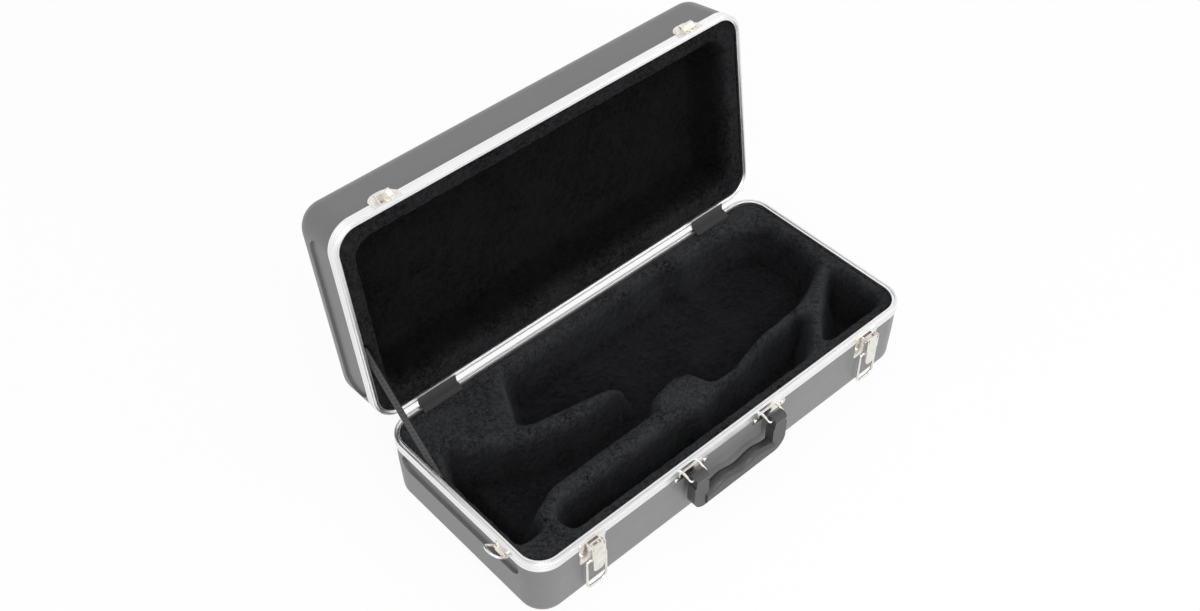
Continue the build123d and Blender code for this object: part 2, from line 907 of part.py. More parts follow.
def carrying_handle():
    """Grip and its two posts in one moulding, with blind holes for the prongs."""
    bottom = base_rim - grip_bottom_drop
    near = handle_pivot_out - post_thickness / 2
    far = handle_pivot_out + post_thickness / 2
    handle = grip()
    for post in pair(post_spacing / 2):
        shoulder = handle_pivot - post_shoulder
        lower = Pos(post, 0, 0) * slab(post_width, near, far, bottom, shoulder)
        outer = lower.edges().filter_by(Axis.Y).group_by(Axis.Z)[0]
        far_side = -1 if post > 0 else 0
        lower = fillet(outer.sort_by(Axis.X)[far_side], post_corner)
        upper = slab(post_top_width, near, far, shoulder - 1, handle_pivot, post)
        top = bar(handle_top_radius, post_top_width, handle_pivot_out, handle_pivot, post)
        handle = handle + lower + upper + top
        for side in pair(1):
            depth = prong_engagement + prong_bend
            middle = post + side * (post_top_width / 2 - depth / 2 + prong_bend / 2)
            hole = prong_radius + running_clearance
            handle = handle - bar(hole, depth + prong_bend, handle_pivot_out, handle_pivot, middle)
    return FRONT * Pos(handle_offset, 0, 0) * handle


def handle_bracket(x):
    """Plate riveted under the frame with two bent prongs that carry a handle post."""
    strip = face_plate(
        bracket_length,
        bracket_top - bracket_strip_height,
        bracket_top,
        bracket_strip_height / 3,
        shell_face,
        shell_face + bracket_sheet,
    )
    tab_top = frame_bottom + bracket_tab_rise
    tab = slab(bracket_tab_length, 0, bracket_sheet, bracket_top - 2 * bracket_sheet, tab_top)
    bracket = strip + tab
    tip = post_top_width / 2 - prong_engagement
    for side in pair(1):
        points = (
            (side * prong_x, -bracket_sheet / 2, base_rim - prong_root_drop),
            (side * prong_x, -handle_pivot_out, handle_pivot),
            (side * tip, -handle_pivot_out, handle_pivot),
        )
        bracket = bracket + wire(points, prong_radius, prong_bend)
    return drilled(FRONT * Pos(x, 0, 0) * bracket, bracket_rivets)


# ================================================================== strap rings
ring_pivot = base_rim - ring_pivot_drop


def ring_bracket(side, x):
    """Folded bracket on the frame; its curl holds the straight bar of the ring."""
    top = base_rim - ring_plate_drop
    plate = face_plate(ring_plate_width, top - ring_plate_height, top, 2, 0, ring_sheet)
    bore = ring_wire_radius + running_clearance
    curl = bar(bore + curl_wall, curl_length, ring_pivot_out, ring_pivot)
    bridge = slab(curl_length, 0, ring_pivot_out, ring_pivot, ring_pivot + bore + curl_wall)
    bracket = plate + (curl + bridge) - bar(bore, ring_length, ring_pivot_out, ring_pivot)
    return drilled(side * Pos(x, 0, 0) * bracket, ring_rivets)


def strap_ring(side, x, raised):
    """D-shaped wire ring, hanging or raised about its straight bar."""
    half = ring_length / 2
    legs = ring_reach - half
    right_leg = Line((half, 0, 0), (half, 0, -legs))
    bow = ThreePointArc((half, 0, -legs), (0, 0, -ring_reach), (-half, 0, -legs))
    left_leg = Line((-half, 0, -legs), (-half, 0, 0))
    shape = Rot(0, 90, 0) * Cylinder(ring_wire_radius, ring_length)
    for corner in pair(half):
        shape = shape + Pos(corner, 0, 0) * Sphere(ring_wire_radius)
    path = Wire([right_leg.edge(), bow.edge(), left_leg.edge()])
    section = Plane(origin=(half, 0, 0), z_dir=(0, 0, -1)) * Circle(ring_wire_radius)
    shape = shape + sweep(section, path)
    turned = Pos(0, -ring_pivot_out, ring_pivot) * Rot(-raised, 0, 0) * shape
    return side * Pos(x, 0, 0) * turned


# ================================================================== writing the pieces
def pieces():
    """Every piece of the case in its place, the lid's pieces swung open."""
    base_foam, base_skin = base_linings()
    lid_foam, lid_skin = lid_linings()
    base_shell = drilled(ON_BASE * base_tub.shell(), base_rivets)
    lid_shell = drilled(ON_LID * lid_tub.shell(), lid_rivets)
    made = {
        "base_shell": base_shell - anchor_bore(base_anchor()),
        "base_frame": base_frame(),
        "base_foam_insert": base_foam,
        "base_plush_lining": base_skin,
        "hinge_base_rivets": rivet_group(hinge_base_rivets),
        "stay_strap": stay_strap(),
        "stay_base_anchor": anchor_plate(base_anchor(), -1),
        "stay_base_rivet": anchor_rivet(base_anchor()),
        "latch_plate_rivets": rivet_group(latch_rivets),
        "handle_bracket_rivets": rivet_group(bracket_rivets),
        "ring_bracket_rivets": rivet_group(ring_rivets),
        "handle_bracket_left": handle_bracket(post_places[0]),
        "handle_bracket_right": handle_bracket(post_places[1]),
        "carrying_handle": carrying_handle(),
        "ring_bracket_left": ring_bracket(LEFT, ring_y),
        "ring_bracket_right": ring_bracket(RIGHT, -ring_y),
        "strap_ring_left": strap_ring(LEFT, ring_y, ring_raise),
        "strap_ring_right": strap_ring(RIGHT, -ring_y, 0),
    }
    shut = {
        "lid_shell": lid_shell - anchor_bore(lid_anchor()),
        "lid_frame": lid_frame(),
        "lid_foam_insert": lid_foam,
        "lid_plush_lining": lid_skin,
        "hinge_lid_rivets": rivet_group(hinge_lid_rivets),
        "stay_lid_anchor": anchor_plate(lid_anchor(), 1),
        "stay_lid_rivet": anchor_rivet(lid_anchor()),
        "keeper_rivets": rivet_group(keeper_rivets),
    }
    for name, x in (("left", -1), ("right", 1)):
        made["latch_plate_" + name] = latch_plate(x * latch_x)
        made["lever_pin_" + name] = lever_pin(x * latch_x)
        made["latch_lever_" + name] = latch_lever(x * latch_x)
        made["latch_bail_" + name] = latch_bail(x * latch_x)
        made["hinge_base_leaf_" + name] = base_leaf(-x * hinge_x)
        made["hinge_pin_" + name] = hinge_pin(-x * hinge_x)
        made["hinge_cover_" + name] = hinge_cover(x * hinge_x)
        shut["hinge_lid_leaf_" + name] = lid_leaf(-x * hinge_x)
        shut["keeper_" + name] = keeper(x * latch_x)
    for name, shape in shut.items():
        made[name] = LID_OPEN * shape
    return made


os.makedirs("parts", exist_ok=True)
for name, shape in pieces().items():
    export_step(shape, "parts/" + name + ".step")
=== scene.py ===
import json
import math

import bpy
import numpy as np
from bpy.props import FloatProperty, FloatVectorProperty, PointerProperty
from mathutils import Matrix, Vector, noise


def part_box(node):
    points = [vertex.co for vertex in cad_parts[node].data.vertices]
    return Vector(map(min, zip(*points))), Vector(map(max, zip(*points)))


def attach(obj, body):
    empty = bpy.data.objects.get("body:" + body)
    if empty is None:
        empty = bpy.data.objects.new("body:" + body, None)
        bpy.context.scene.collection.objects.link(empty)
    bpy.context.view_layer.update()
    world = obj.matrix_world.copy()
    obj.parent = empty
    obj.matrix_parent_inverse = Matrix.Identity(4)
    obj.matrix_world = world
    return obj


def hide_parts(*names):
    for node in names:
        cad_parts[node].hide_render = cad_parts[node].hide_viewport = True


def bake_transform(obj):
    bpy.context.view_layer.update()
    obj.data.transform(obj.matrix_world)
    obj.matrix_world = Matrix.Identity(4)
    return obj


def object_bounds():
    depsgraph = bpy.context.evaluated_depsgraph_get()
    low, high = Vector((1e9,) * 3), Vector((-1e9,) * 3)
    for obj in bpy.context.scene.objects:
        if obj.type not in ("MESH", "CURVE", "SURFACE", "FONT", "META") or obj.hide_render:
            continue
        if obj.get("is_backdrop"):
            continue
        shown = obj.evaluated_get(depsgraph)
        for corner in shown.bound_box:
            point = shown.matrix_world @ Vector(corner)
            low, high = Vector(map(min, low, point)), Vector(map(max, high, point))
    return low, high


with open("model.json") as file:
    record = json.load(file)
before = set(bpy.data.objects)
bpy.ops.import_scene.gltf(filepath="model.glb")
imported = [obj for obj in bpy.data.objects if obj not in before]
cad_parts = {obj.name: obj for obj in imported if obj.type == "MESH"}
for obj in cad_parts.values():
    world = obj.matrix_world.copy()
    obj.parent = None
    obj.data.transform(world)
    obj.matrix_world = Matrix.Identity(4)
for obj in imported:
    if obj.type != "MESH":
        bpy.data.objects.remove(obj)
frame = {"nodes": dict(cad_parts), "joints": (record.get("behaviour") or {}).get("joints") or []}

frame_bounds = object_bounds()

bl_info = {
    "name": "Trumpet Case",
    "version": (1, 0, 0),
    "blender": (4, 5, 0),
    "location": "3D View > Sidebar > Trumpet Case",
    "description": "Plush linings, webbing and finishes of an open trumpet case",
    "category": "Object",
}

# Sizes and places down to the stage are in millimetres. MM turns them into metres.
MM = 0.001


# ------------------------------------------------------------------ sizes shared with the frame
def middle(node):
    """Middle of a node at rest, in millimetres to a hundredth."""
    low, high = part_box(node)
    return tuple(round(value / MM, 2) for value in (low + high) / 2)


HALF_LENGTH, HALF_WIDTH = (round(value / MM, 2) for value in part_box("base_frame")[1].xy)
FRAME_WIDTH = 6.0
FRAME_CORNER = 30.0
GROOVE_PITCH = 1.6
LINING_GAP = 0.3
LINING_HALF_LENGTH = HALF_LENGTH - FRAME_WIDTH - LINING_GAP
LINING_HALF_WIDTH = HALF_WIDTH - FRAME_WIDTH - LINING_GAP
LINING_CORNER = FRAME_CORNER - FRAME_WIDTH - LINING_GAP

# Inner faces of the frame, and the line on which the bell lies.
LEFT = FRAME_WIDTH - HALF_LENGTH
RIGHT = HALF_LENGTH - FRAME_WIDTH
FRONT = FRAME_WIDTH - HALF_WIDTH
REAR = HALF_WIDTH - FRAME_WIDTH
BELL_LINE = FRONT + 109

# Block of the base: its top and bottom, and where and how far its walls turn in over the
# shell's corner.
BASE_LINING_TOP = 86.6
BASE_FLOOR = 3.6
BASE_TURN = 13.5
BASE_TURN_INSET = 10.5

# The same of the lid, shut, and the pan in it.
LID_LINING_FACE = 89.9
LID_BACK = 160.8
LID_TURN = 141.0
LID_TURN_INSET = 21.0
LID_PAN_FLOOR = 140.9
LID_PAN_HALF_LENGTH = 251.0
LID_PAN_HALF_WIDTH = 98.0
LID_PAN_CORNER = 24.0
LID_PAN_SLOPE = 15.0
LID_CROWN = 3.0
LID_CROWN_RUN = 90.0

# How far each hinge lies from the middle, and the lid's turn about both from shut to open.
HINGE_X = middle("hinge_pin_right")[0]
LID_HINGE = next(joint for joint in frame["joints"] if joint["name"] == "lid_hinge")
LID_ANGLE = LID_HINGE["range_deg"][1]
LID_OPEN = (
    Matrix.Translation(Vector(LID_HINGE["pos_m"]))
    @ Matrix.Rotation(math.radians(-LID_ANGLE), 4, "X")
    @ Matrix.Translation(-Vector(LID_HINGE["pos_m"]))
)

# ------------------------------------------------------------------ linings
# Outlines of the base's pockets, in plan.
BELL_SLOT = (
    (LEFT + 9, BELL_LINE - 72),
    (LEFT + 40, BELL_LINE - 72),
    (LEFT + 40, BELL_LINE + 70),
    (LEFT + 24, BELL_LINE + 70),
    (LEFT + 9, BELL_LINE + 42),
)
FLARE_BED = (
    (LEFT + 24, BELL_LINE + 70),
    (LEFT + 24, BELL_LINE - 70),
    (LEFT + 40, BELL_LINE - 56),
    (LEFT + 78, BELL_LINE - 40),
    (LEFT + 176, BELL_LINE - 38),
    (LEFT + 176, BELL_LINE + 6),
    (LEFT + 97, BELL_LINE + 27),
    (LEFT + 52, BELL_LINE + 54),
)
MAIN_CAVITY = (
    (LEFT + 137, REAR - 13),
    (LEFT + 104, BELL_LINE + 46),
    (LEFT + 116, BELL_LINE + 37),
    (LEFT + 226, BELL_LINE + 16),
    (LEFT + 138, BELL_LINE + 8),
    (LEFT + 138, BELL_LINE - 38),
    (-44, BELL_LINE - 38),
    (-34, BELL_LINE - 23),
    (0, BELL_LINE - 16),
    (20, BELL_LINE - 24),
    (28, BELL_LINE - 49),
    (60, BELL_LINE - 50),
    (RIGHT - 156, BELL_LINE - 37),
    (RIGHT - 82, BELL_LINE - 32),
    (RIGHT - 54, BELL_LINE - 22),
    (RIGHT - 20, BELL_LINE - 6),
    (RIGHT - 12, BELL_LINE + 44),
    (RIGHT - 18, REAR - 42),
    (RIGHT - 36, REAR - 30),
    (RIGHT - 84, REAR - 17),
    (RIGHT - 130, REAR - 19),
    (RIGHT - 156, REAR - 9),
)
FRONT_POCKET = (
    (LEFT + 60, FRONT + 16),
    (RIGHT - 136, FRONT + 16),
    (RIGHT - 112, FRONT + 33),
    (RIGHT - 90, FRONT + 58),
    (RIGHT - 98, FRONT + 68),
    (RIGHT - 156, FRONT + 64),
    (60, FRONT + 52),
    (24, FRONT + 49),
    (-9, FRONT + 42),
    (-35, FRONT + 49),
    (LEFT + 148, FRONT + 47),
    (LEFT + 70, FRONT + 50),
    (LEFT + 57, FRONT + 39),
)
RIGHT_POCKET = (
    (RIGHT - 109, FRONT + 16),
    (RIGHT - 12, FRONT + 16),
    (RIGHT - 12, FRONT + 94),
    (RIGHT - 29, FRONT + 85),
    (RIGHT - 55, FRONT + 65),
    (RIGHT - 80, FRONT + 45),
)

# Each pocket's outline, the height of its floor and the width over which its edge rolls in.
BASE_POCKETS = (
    (BELL_SLOT, 14.0, 9.0),
    (FLARE_BED, 30.0, 14.0),
    (MAIN_CAVITY, 30.0, 10.0),
    (FRONT_POCKET, 25.0, 9.0),
    (RIGHT_POCKET, 25.0, 9.0),
)

# Grid of both linings, and how often the base's heights are averaged.
LINING_COLUMNS = 355
LINING_ROWS = 155
SOFTENING_ROUNDS = 12

# Sunk and rolled edge along the frame, crease of a pocket's edge, and the share of its roll
# that lies outside its outline.
RIM_SINK = 0.8
RIM_ROLL = 3.0
POCKET_CREASE = 3.0
ROLL_OUTSIDE = 0.1

# Notch in the left wall of both linings, for a stay anchor and the strap that leans from it.
NOTCH_REACH = 6.5
NOTCH_HALF_LENGTH = 13.0
NOTCH_DEPTH = 11.0
NOTCH_ROLL = 2.0
NOTCH_CREASE = 1.0
BASE_NOTCH_Y = 45.0
LID_NOTCH_Y = 34.0

# Share of the pile that is left along the frame, the width over which it fades, and the fine
# tufts' height and size as shares of the large ones'.
RIM_PILE = 0.3
PILE_FADE = 5.0
FINE_TUFT_HEIGHT = 0.55
FINE_TUFT_SIZE = 0.42

# ------------------------------------------------------------------ stay strap and hinge covers
# Middle of the strap's two rivets in y and z, with the lid open, and its tail past each.
STRAP_X = middle("stay_strap")[0]
STRAP_FOOT = middle("stay_base_rivet")[1:]
STRAP_HEAD = middle("stay_lid_rivet")[1:]
STRAP_TAIL = 4.0
STRAP_WIDTH = 18.0
STRAP_THICKNESS = 0.9
STRAP_SELVEDGE = 0.6
STRAP_GRID = (9, 380)
RIVET_HOLE_RADIUS = 1.6
RIVET_HOLE_SIDES = 24
PUNCH_LENGTH = 6.0

# Line under a cover in y and z: from the base's lining over its rim, and up the open lid.
COVER_OVER_RIM = ((111.5, 85.7), (113.8, 86.5), (116.4, 88.5), (119.6, 88.7), (122.0, 90.0))
COVER_UP_LID = ((123.2, 93.2), (123.3, 98.5))
COVER_LINE_POINTS = 60
COVER_GRID = (60, 44)

# Plush without tufts under a cover: how far it reaches past the cover's ends and from the wall.
COVER_CLEARANCE = 2.0
COVER_BARE_REACH = 8.0

# Steepest edge that is still shaded smooth on strap and covers.
SMOOTH_ANGLE = math.radians(50)

# ------------------------------------------------------------------ metal fittings
NICKEL_PAIRS = (
    "hinge_base_leaf",
    "hinge_lid_leaf",
    "hinge_pin",
    "latch_plate",
    "latch_lever",
    "latch_bail",
    "lever_pin",
    "keeper",
    "handle_bracket",
    "ring_bracket",
    "strap_ring",
)
NICKEL_NODES = (
    *(f"{fitting}_{side}" for fitting in NICKEL_PAIRS for side in ("left", "right")),
    "hinge_base_rivets",
    "hinge_lid_rivets",
    "stay_base_anchor",
    "stay_base_rivet",
    "stay_lid_anchor",
    "stay_lid_rivet",
    "latch_plate_rivets",
    "keeper_rivets",
    "handle_bracket_rivets",
    "ring_bracket_rivets",
)

# ------------------------------------------------------------------ stage
# Camera: place in metres, turn in degrees, lens and sensor in millimetres.
CAMERA_PLACE = (-0.75463, -0.76229, 1.26585)
CAMERA_YAW = 41.5646
CAMERA_PITCH = 45.5292
CAMERA_ROLL = -0.8103
CAMERA_LENS = 44.507
CAMERA_SENSOR = 36.0

# Lamps: places, sizes and the point that they face, in metres, and the fill lamp's share of the
# key lamp's power.
KEY_PLACE = (-1.2, -1.5, 2.2)
FILL_PLACE = (1.9, -0.9, 1.6)
FRONT_PLACE = (-0.3, -2.4, 0.8)
KEY_SIZE = 1.6
FILL_SIZE = 1.6
FRONT_SIZE = 1.2
LAMP_AIM = (0, 0, 0.1)
FILL_SHARE = 0.35

# Floor: how far it lies under the feet, in metres, and the share of plain white in it where it
# is seen.
FLOOR_DROP = 0.0002
FLOOR_WHITE = 0.93


# ------------------------------------------------------------------ settings
def length_property(name, description, default):
    """Length in metres that a user can change."""
    return FloatProperty(
        name=name, description=description, default=default, min=0, unit="LENGTH", precision=5
    )


def power_property(name, description, default):
    """Power of a lamp, in watts, that a user can change."""
    return FloatProperty(name=name, description=description, default=default, min=0, unit="POWER")


def colour_property(name, description, default):
    """Colour that a user can change."""
    return FloatVectorProperty(
        name=name, description=description, default=default, min=0, max=1, subtype="COLOR"
    )


class PlushSettings(bpy.types.PropertyGroup):
    colour: colour_property("Pile colour", "Colour of the pile's tips", (0.032, 0.033, 0.036))
    shade: colour_property("Pile shade", "Colour between the tufts", (0.0010, 0.0010, 0.0012))
    # The lid's pile is the base's plush given a darker colour on the lid: painted shade.
    lid_shaded_colour: colour_property(
        "Lid pile colour", "Colour of the tips of the lid's pile", (0.015, 0.015, 0.016)
    )
    mesh_size: length_property("Mesh size", "Size of a face of the plush", 0.0026)
    tuft_height: length_property("Tuft height", "How far the tufts stand proud", 0.0009)
    tuft_size: length_property("Tuft size", "Distance between tufts", 0.0075)


class ShellSettings(bpy.types.PropertyGroup):
    colour: colour_property("Shell colour", "Colour of the moulded shells", (0.155, 0.155, 0.158))
    handle_colour: colour_property("Handle colour", "Colour of the handle", (0.043, 0.043, 0.044))
    grain_size: length_property("Grain size", "Size of the moulded grain", 0.0007)


class MetalSettings(bpy.types.PropertyGroup):
    aluminium: colour_property("Aluminium", "Colour of the satin frames", (0.965, 0.965, 0.97))
    nickel: colour_property("Nickel", "Colour of the plated fittings", (0.88, 0.84, 0.79))


class WebbingSettings(bpy.types.PropertyGroup):
    colour: colour_property("Webbing colour", "Colour of the strap", (0.023, 0.023, 0.024))
    rib_pitch: length_property("Rib pitch", "Distance between the strap's ribs", 0.0046)
    rib_height: length_property("Rib height", "Height of the strap's ribs", 0.00035)
    thread_pitch: length_property("Thread pitch", "Distance between the cover's threads", 0.0011)
    cover_length: length_property("Cover length", "Length of a hinge cover", 0.050)
    cover_thickness: length_property("Cover thickness", "Thickness of a hinge cover", 0.0006)


class StageSettings(bpy.types.PropertyGroup):
    floor_colour: colour_property("Floor colour", "Colour of the floor", (0.95, 0.95, 0.95))
    sky_level: FloatProperty(
        name="Sky level", description="Brightness of the light tent", default=0.68, min=0
    )
    key_power: power_property("Key power", "Power of the key lamp", 16.0)
    front_power: power_property("Front power", "Power of the front lamp", 26.0)
    floor_size: length_property("Floor size", "Side of the floor", 12.0)


class CaseSettings(bpy.types.PropertyGroup):
    plush: PointerProperty(type=PlushSettings)
    shell: PointerProperty(type=ShellSettings)
    metal: PointerProperty(type=MetalSettings)
    webbing: PointerProperty(type=WebbingSettings)
    stage: PointerProperty(type=StageSettings)


# ------------------------------------------------------------------ shader maths
# Sockets of a Mix node that hold its two colours and their mix.
MIX_FIRST = 6
MIX_SECOND = 7
MIX_RESULT = 2


class Wire:
    """Output of a shader node; arithmetic on it adds Math nodes."""

    def __init__(self, finish, socket):
        self.finish = finish
        self.socket = socket

    def math(self, operation, *others):
        """Math node on this value and the others."""
        values = dict(enumerate((self, *others)))
        return self.finish.node("ShaderNodeMath", {"operation": operation}, values)

    def __add__(self, other):
        return self.math("ADD", other)

    __radd__ = __add__

    def __mul__(self, other):
        return self.math("MULTIPLY", other)

    __rmul__ = __mul__

    def __sub__(self, other):
        return self.math("SUBTRACT", other)

    def __rsub__(self, other):
        return self.finish.node("ShaderNodeMath", {"operation": "SUBTRACT"}, {0: other, 1: self})


class Finish:
    """Node tree of a finish, a new material's unless another tree is given."""

    def __init__(self, name, tree=None):
        if tree is None:
            self.material = bpy.data.materials.new(name)
            self.material.use_nodes = True
            tree = self.material.node_tree
        self.tree = tree
        self.tree.nodes.clear()

    def node(self, kind, settings=None, values=None, output=0):
        """Any node: its settings first, then the values or links of its sockets."""
        made = self.tree.nodes.new(kind)
        for name, value in (settings or {}).items():
            if name == "stops":
                self.set_stops(made.color_ramp.elements, value)
            else:
                setattr(made, name, value)
        for key, value in (values or {}).items():
            if isinstance(value, Wire):
                self.tree.links.new(value.socket, made.inputs[key])
            else:
                made.inputs[key].default_value = value
        return Wire(self, made.outputs[output]) if made.outputs else None

    def set_stops(self, elements, stops):
        """Stops of a ramp, each a place and a grey or a colour."""
        while len(elements) < len(stops):
            elements.new(1.0)
        for element, (place, level) in zip(elements, stops):
            element.position = place
            element.color = (level, level, level, 1) if isinstance(level, float) else (*level, 1)

    def place(self, scale=(1, 1, 1), turn=(0, 0, 0), source="Object"):
        """Coordinates of the piece, turned and stretched."""
        coordinates = self.node("ShaderNodeTexCoord", output=source)
        return self.node(
            "ShaderNodeMapping",
            values={"Vector": coordinates, "Rotation": turn, "Scale": scale},
        )

    def axis(self, place, name):
        """One axis of coordinates."""
        return self.node("ShaderNodeSeparateXYZ", values={"Vector": place}, output=name)

    def noise(self, place, scale, detail=2.0, roughness=0.5):
        """Noise texture."""
        return self.node(
            "ShaderNodeTexNoise",
            values={"Vector": place, "Scale": scale, "Detail": detail, "Roughness": roughness},
        )

    def ramp(self, value, *stops):
        """Ramp over a value."""
        return self.node("ShaderNodeValToRGB", {"stops": stops}, {0: value})

    def mix(self, factor, first, second):
        """Mix of two colours."""
        values = {
            0: factor,
            MIX_FIRST: first if isinstance(first, Wire) else (*first, 1),
            MIX_SECOND: second if isinstance(second, Wire) else (*second, 1),
        }
        return self.node("ShaderNodeMix", {"data_type": "RGBA"}, values, output=MIX_RESULT)

    def bump(self, height, distance, under=None):
        """Bump of a given depth in metres, over another one."""
        values = {"Height": height, "Distance": distance}
        if under is not None:
            values["Normal"] = under
        return self.node("ShaderNodeBump", values=values)

    def seen(self):
        """One on camera, mirror and glass rays, none on the others."""
        kinds = ("Is Camera Ray", "Is Glossy Ray", "Is Transmission Ray")
        rays = [self.node("ShaderNodeLightPath", output=kind) for kind in kinds]
        return (rays[0] + rays[1] + rays[2]).math("MINIMUM", 1.0)

    def surface(self, **values):
        """Principled surface, which ends the tree."""
        named = {key.replace("_", " "): value for key, value in values.items()}
        shader = self.node("ShaderNodeBsdfPrincipled", values=named)
        self.node("ShaderNodeOutputMaterial", values={"Surface": shader})
        return self.material


def tone(colour, factor):
    """A colour made lighter or darker."""
    return tuple(min(1.0, value * factor) for value in colour)


# ------------------------------------------------------------------ finishes
def moulded_plastic(name, colour, grain_size, roughness):
    """Moulded plastic with a fine pebbled grain, cloudy gloss and faint scuffs."""
    finish = Finish(name)
    place = finish.place()
    clouds = finish.noise(place, scale=9.0, detail=3.0)
    grain = finish.noise(place, scale=1 / grain_size, detail=2.0, roughness=0.6)
    pebbles = finish.node(
        "ShaderNodeTexVoronoi",
        {"feature": "SMOOTH_F1"},
        {"Vector": place, "Scale": 0.7 / grain_size},
    )
    streaks = finish.place(scale=(3, 40, 3))
    scuffs = finish.noise(streaks, scale=30.0, detail=6.0, roughness=0.7)
    scratched = finish.ramp(scuffs, (0.60, 0.0), (0.72, 1.0))
    body = finish.mix(clouds, tone(colour, 0.90), tone(colour, 1.10))
    body = finish.mix(grain * 0.35, body, tone(colour, 1.35))
    return finish.surface(
        Base_Color=body,
        Roughness=clouds * 0.10 + scratched * 0.06 + (roughness - 0.05),
        Normal=finish.bump(pebbles + grain * 0.6, distance=0.09 * grain_size),
        Specular_IOR_Level=0.5,
    )


def satin_aluminium(name, colour, shut):
    """Extruded aluminium, drawn and grooved along the profile, with painted shade in the grooves;
    shut lays an open frame level.
    """
    finish = Finish(name)
    place = finish.node(
        "ShaderNodeMapping",
        values={
            "Vector": finish.place(),
            "Location": shut.translation,
            "Rotation": shut.to_euler(),
        },
    )
    past_x = finish.axis(place, "X").math("ABSOLUTE") - (HALF_LENGTH - FRAME_CORNER) * MM
    past_y = finish.axis(place, "Y").math("ABSOLUTE") - (HALF_WIDTH - FRAME_CORNER) * MM
    out_x, out_y = past_x.math("MAXIMUM", 0), past_y.math("MAXIMUM", 0)
    outside = (out_x * out_x + out_y * out_y).math("SQRT")
    flat = past_x.math("MAXIMUM", past_y).math("MINIMUM", 0)
    inward = FRAME_CORNER * MM - outside - flat
    step = (inward * (1 / (GROOVE_PITCH * MM)) + 0.5).math("FRACT")
    grooves = finish.ramp(step, (0.0, 1.0), (0.10, 1.0), (0.22, 0.0))
    lines = finish.node("ShaderNodeMapping", values={"Vector": place, "Scale": (2, 2, 320)})
    drawn = finish.noise(lines, scale=3.0, detail=3.0, roughness=0.6)
    wear = finish.noise(place, scale=26.0, detail=4.0, roughness=0.6)
    marks = finish.ramp(wear, (0.45, 0.0), (0.75, 1.0))
    body = finish.mix(drawn, tone(colour, 0.82), tone(colour, 1.03))
    body = finish.mix(marks * 0.2, body, tone(colour, 0.9))
    # Painted shade darkens the grooves.
    body = finish.mix(grooves * 0.55, body, tone(colour, 0.42))
    return finish.surface(
        Base_Color=body,
        Metallic=1.0,
        Roughness=drawn * 0.12 + marks * 0.06 + 0.22,
        Normal=finish.bump(drawn - grooves * 0.8, distance=0.00006),
    )


def nickel_plate(colour):
    """Bright warm nickel plate with a slightly cloudy polish."""
    finish = Finish("nickel_plate")
    place = finish.place()
    clouds = finish.noise(place, scale=110.0, detail=3.0, roughness=0.6)
    fine = finish.noise(place, scale=900.0, detail=2.0, roughness=0.6)
    body = finish.mix(clouds, tone(colour, 0.70), tone(colour, 1.15))
    return finish.surface(
        Base_Color=body,
        Metallic=1.0,
        Roughness=clouds * 0.16 + 0.14,
        Normal=finish.bump(clouds * 0.8 + fine * 0.4, distance=0.00006),
    )


def black_plush(name, colour, shade, sheen, crest, outward):
    """Short black pile with brushed patches, and painted shade that darkens it the deeper it lies
    under its crest.
    """
    finish = Finish(name)
    place = finish.place()
    patches = finish.noise(place, scale=24.0, detail=5.0, roughness=0.68)
    tufts = finish.noise(place, scale=200.0, detail=4.0, roughness=0.75)
    fibres = finish.noise(place, scale=800.0, detail=3.0, roughness=0.8)
    nap = finish.ramp(patches, (0.40, 0.0), (0.62, 1.0))
    tips = finish.ramp(tufts * 0.55 + fibres * 0.45, (0.43, 0.0), (0.57, 1.0))
    crest_pile = finish.mix(tips, shade, tone(colour, 1.3))
    crest_pile = finish.mix(nap * 0.45, crest_pile, tone(colour, 1.6))
    # Pile with painted shade, for places that lie deep under the crest.
    shaded_pile = finish.mix(tips, shade, tone(colour, 0.32))
    shaded_pile = finish.mix(nap * 0.5, shaded_pile, tone(colour, 0.42))
    height = finish.node(
        "ShaderNodeVectorMath", {"operation": "DOT_PRODUCT"}, {0: place, 1: outward}, "Value"
    )
    # Painted shade: the pile's depth under its crest mixes in the shaded pile.
    pit_shade = finish.node(
        "ShaderNodeMapRange",
        values={"Value": height, "From Min": crest - 0.002, "From Max": crest - 0.020},
    )
    soft = finish.bump(tufts, distance=0.0016)
    return finish.surface(
        Base_Color=finish.mix(pit_shade * 0.9, crest_pile, shaded_pile),
        Roughness=0.95,
        Specular_IOR_Level=0.01,
        Sheen_Weight=sheen,
        Sheen_Roughness=0.5,
        Sheen_Tint=(0.55, 0.57, 0.62, 1),
        Normal=finish.bump(fibres, distance=0.0007, under=soft),
    )


def ribbed_webbing(colour, rib_pitch, slope, middle, width):
    """Webbing with open cross ribs between two plain selvedges and painted shade between the ribs,
    along a slope in degrees.
    """
    finish = Finish("ribbed_webbing")
    strand_pitch = 0.0008
    along = finish.place(turn=(-math.radians(slope), 0, 0))
    run, across = finish.axis(along, "Y"), finish.axis(along, "Z")
    ribs = (run * (2 * math.pi / rib_pitch)).math("SINE") * 0.5 + 0.5
    threads = (across * (2 * math.pi / strand_pitch)).math("SINE") * 0.5 + 0.5
    fuzz = finish.noise(along, scale=1300.0, detail=3.0, roughness=0.7)
    aside = (across - middle).math("ABSOLUTE") * (2 / width)
    ladder = finish.ramp(aside, (0.50, 1.0), (0.66, 0.0))
    # Painted shade in the troughs between the ribs, inside the selvedges.
    rib_gap_shade = finish.ramp(ribs, (0.36, 1.0), (0.62, 0.0)) * ladder
    body = finish.mix(fuzz * 0.6 + threads * 0.4, tone(colour, 0.75), tone(colour, 1.35))
    body = finish.mix(rib_gap_shade * 0.85, body, tone(colour, 0.2))
    return finish.surface(
        Base_Color=body,
        Roughness=0.82 - ribs * 0.12,
        Specular_IOR_Level=0.2,
        Sheen_Weight=0.15,
        Sheen_Roughness=0.5,
        Normal=finish.bump(ribs * 0.6 + threads * 0.25 + fuzz * 0.3, distance=0.0003),
    )


